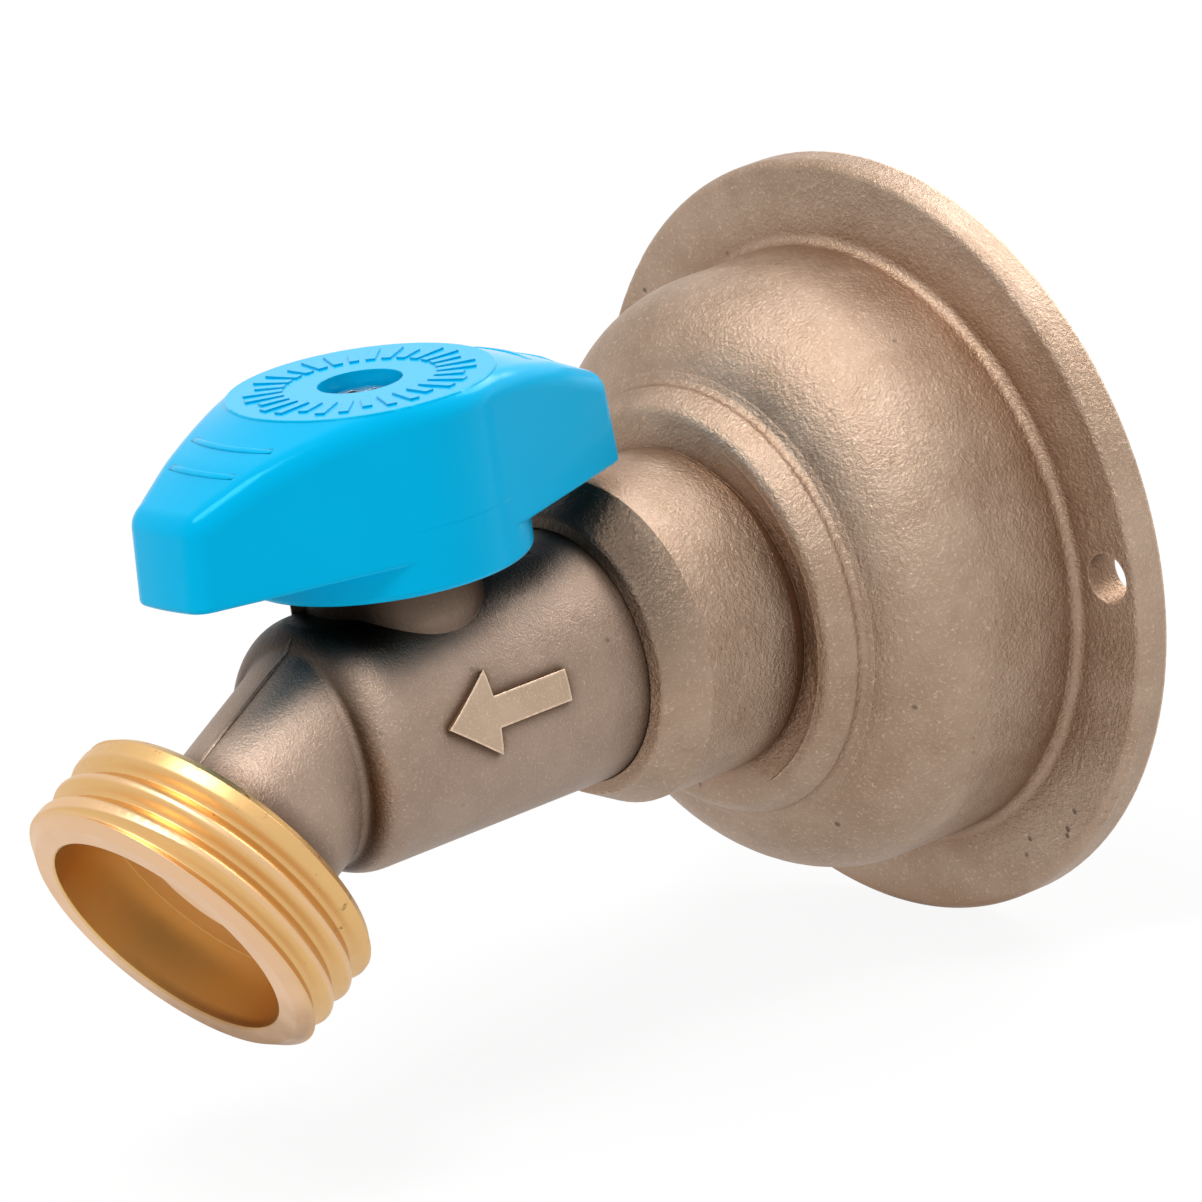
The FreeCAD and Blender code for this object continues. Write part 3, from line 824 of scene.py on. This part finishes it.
# Camera: fitted to the photograph's ellipses
def make_camera():
    azimuth, elevation, roll = (math.radians(a) for a in (50.7918, 15.8084, -8.455))
    distance = 711.54 * MM
    focal_px = 9145.59
    image_px = 1202
    shift_right = 3.69 * MM
    shift_up = -1.59 * MM
    target = Vector((0, -25.875 * MM, 0))
    right = Vector((math.cos(azimuth), math.sin(azimuth), 0))
    back = Vector((math.sin(azimuth) * math.cos(elevation),
                   -math.cos(azimuth) * math.cos(elevation), math.sin(elevation)))
    up = back.cross(right)
    rolled_right = math.cos(roll) * right + math.sin(roll) * up
    rolled_up = math.cos(roll) * up - math.sin(roll) * right
    place = target - rolled_right * shift_right - rolled_up * shift_up + back * distance
    lens = bpy.data.cameras.new("camera")
    lens.sensor_width = 36.0
    lens.lens = focal_px / image_px * lens.sensor_width
    lens.clip_start = 0.01
    camera = new_object("camera", lens)
    turn = Matrix((rolled_right, rolled_up, back)).transposed().to_4x4()
    turn.translation = place
    camera.matrix_world = turn
    bpy.context.scene.camera = camera


# Studio: white world, pale floor and soft lamps
def seen_directly(tree):
    """One for camera, glossy and transmission rays, which see the background as white."""
    path = add(tree, "ShaderNodeLightPath")
    direct = math_node(tree, "MAXIMUM", path.outputs["Is Camera Ray"], path.outputs["Is Glossy Ray"])
    return math_node(tree, "MAXIMUM", direct, path.outputs["Is Transmission Ray"])


def make_world():
    lighting = 0.38
    world = bpy.data.worlds.new("world")
    bpy.context.scene.world = world
    world.use_nodes = True
    tree = world.node_tree
    background = tree.nodes["Background"]
    background.inputs["Color"].default_value = (1, 1, 1, 1)
    tree.links.new(ramp(tree, seen_directly(tree), 0.0, 1.0, lighting, 1.0), background.inputs["Strength"])


def make_floor():
    """A pale floor at the flange's foot, mostly white to the eye but with the object's shadow kept."""
    reach = 3.0
    camera_glow = 0.92
    glossy_glow = 0.88
    tint = (0.9, 0.9, 0.9, 1)
    level = cad_box[0].z
    corners = [(-reach, -reach), (reach, -reach), (reach, reach), (-reach, reach)]
    built = bmesh.new()
    built.faces.new([built.verts.new((x, y, level)) for x, y in corners])
    floor = new_object("floor", mesh_from_bmesh("floor", built))
    material, tree, shader = new_material("floor")
    tree.nodes.remove(shader)
    diffuse = add(tree, "ShaderNodeBsdfDiffuse", inputs={"Color": tint})
    glow = add(tree, "ShaderNodeEmission", inputs={"Color": (1, 1, 1, 1), "Strength": 1.0})
    path = add(tree, "ShaderNodeLightPath")
    dimmer = ramp(tree, path.outputs["Is Glossy Ray"], 0.0, 1.0, camera_glow, glossy_glow)
    share = product(tree, seen_directly(tree), dimmer)
    mixed = add(tree, "ShaderNodeMixShader", inputs={0: share, 1: diffuse.outputs[0], 2: glow.outputs[0]})
    tree.links.new(mixed.outputs[0], tree.nodes["Material Output"].inputs["Surface"])
    dress(floor, material)


def make_lamp(name, place, size, power):
    """A soft round lamp aimed at the middle of the tap."""
    aim = Vector((0, -35 * MM, 0))
    lamp = bpy.data.lights.new(name, "AREA")
    lamp.shape = "DISK"
    lamp.size = size
    lamp.energy = power
    made = new_object(name, lamp)
    made.location = place
    made.rotation_euler = (Vector(place) - aim).to_track_quat("Z", "Y").to_euler()


# The object
body = make_threaded_body()
forged_brass = make_forged_brass()
machined_brass = make_machined_brass()
cast_bronze = make_cast_bronze()
blue_plastic = make_blue_plastic()
finishes = {
    "cast_bronze": cast_bronze,
    "forged_brass": forged_brass,
    "machined_brass": machined_brass,
    "blue_plastic": blue_plastic,
    "screw_steel": make_screw_steel(),
    "ball_chrome": make_ball_chrome(),
    "seat_plastic": make_seat_plastic(),
    "seal_rubber": make_seal_rubber(),
}
for subpart in frame["record"]["subparts"]:
    dress(nodes[subpart["node"]], finishes[subpart["material_slot"]])
dress(body, forged_brass, machined_brass)
use_second_material(body, on_nipple)
dress(make_flow_arrow(), make_worn_brass())
dress(make_parting_line(), forged_brass)
dress(make_dial_ticks(), blue_plastic)
dress(make_crown_arcs(), blue_plastic)
dress(make_inlet_thread(), cast_bronze)

make_camera()
make_world()
make_floor()
make_lamp("front_top", place=(0.12, -0.41, 0.98), size=0.42, power=7.5)
make_lamp("back_top", place=(-0.05, 0.73, 0.64), size=0.70, power=7.0)
bpy.context.scene.view_settings.view_transform = "Standard"
